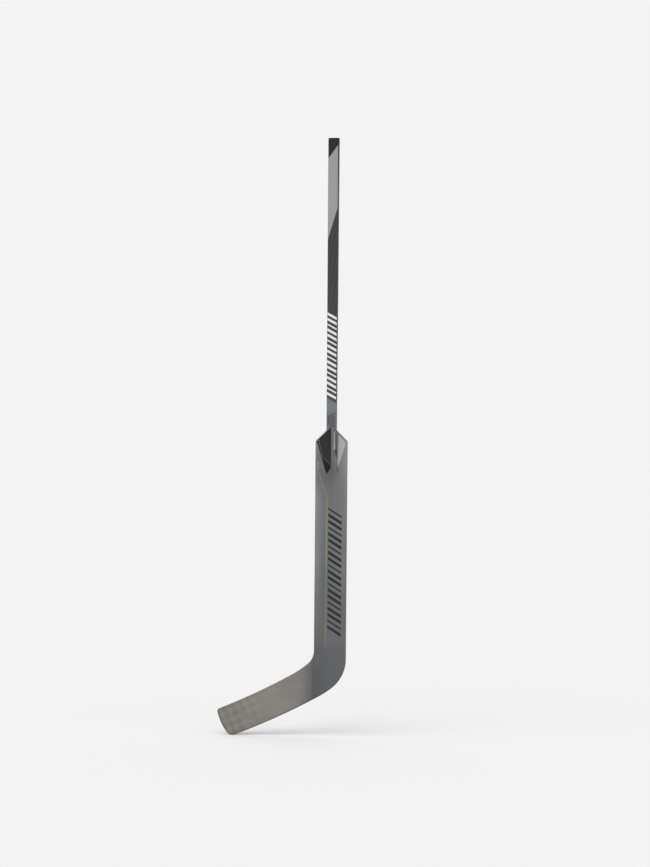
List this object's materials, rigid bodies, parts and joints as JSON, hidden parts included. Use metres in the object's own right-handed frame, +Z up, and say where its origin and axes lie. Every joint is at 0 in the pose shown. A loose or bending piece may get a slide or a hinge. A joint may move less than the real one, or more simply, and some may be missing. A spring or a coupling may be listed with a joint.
{
  "type": "goaltender ice hockey stick",
  "caption": "Goaltender's ice hockey stick: hollow shaft, long wide paddle with 45 degree shoulders, and a broad curved blade.",
  "frame": {"origin": "on the shaft's axis at the throat, where the shaft meets the paddle's shoulders and the blocker hand holds it", "axes": "+Z up along the shaft towards the butt, -Y out of the front face, -X towards the blade's toe"},
  "size_m": [0.3531, 0.0365, 1.6383],
  "materials": {
    "charcoal_composite": "satin clear coat over woven carbon, charcoal with a light grey field at the top",
    "moulded_black": "fine moulded texture",
    "steel_grey_laminate": "satin steel grey paint over woven laminate",
    "back_laminate": "satin dark grey paint over woven laminate",
    "rail_grey": "satin grey, lightly scuffed",
    "pad_black": "fine grained matt black",
    "pad_light": "fine grained matt light grey",
    "blade_laminate": "satin khaki grey over a large carbon weave",
    "edge_binding": "satin, scuffed along the sole",
    "core_foam": "closed cell foam",
    "carbon_rib": "bare carbon laminate",
    "heel_block_resin": "cast resin"
  },
  "bodies": {
    "root": {"shaft_tube": "charcoal_composite", "butt_end_plug": "moulded_black", "paddle_center_spar": "carbon_rib", "paddle_front_skin": "steel_grey_laminate", "paddle_back_skin": "back_laminate", "paddle_core_inner": "core_foam", "paddle_core_outer": "core_foam", "inner_edge_rail": "rail_grey", "outer_edge_rail": "rail_grey", "finger_pad_front_left": "pad_black", "finger_pad_front_right": "pad_light", "finger_pad_back_left": "pad_light", "finger_pad_back_right": "pad_black", "heel_block": "heel_block_resin", "blade_front_skin": "blade_laminate", "blade_back_skin": "blade_laminate", "blade_core_upper": "core_foam", "blade_core_lower": "core_foam", "blade_bridge_rib": "carbon_rib", "blade_top_edge": "edge_binding", "blade_bottom_edge": "edge_binding", "toe_edge": "edge_binding"}
  },
  "joints": []
}
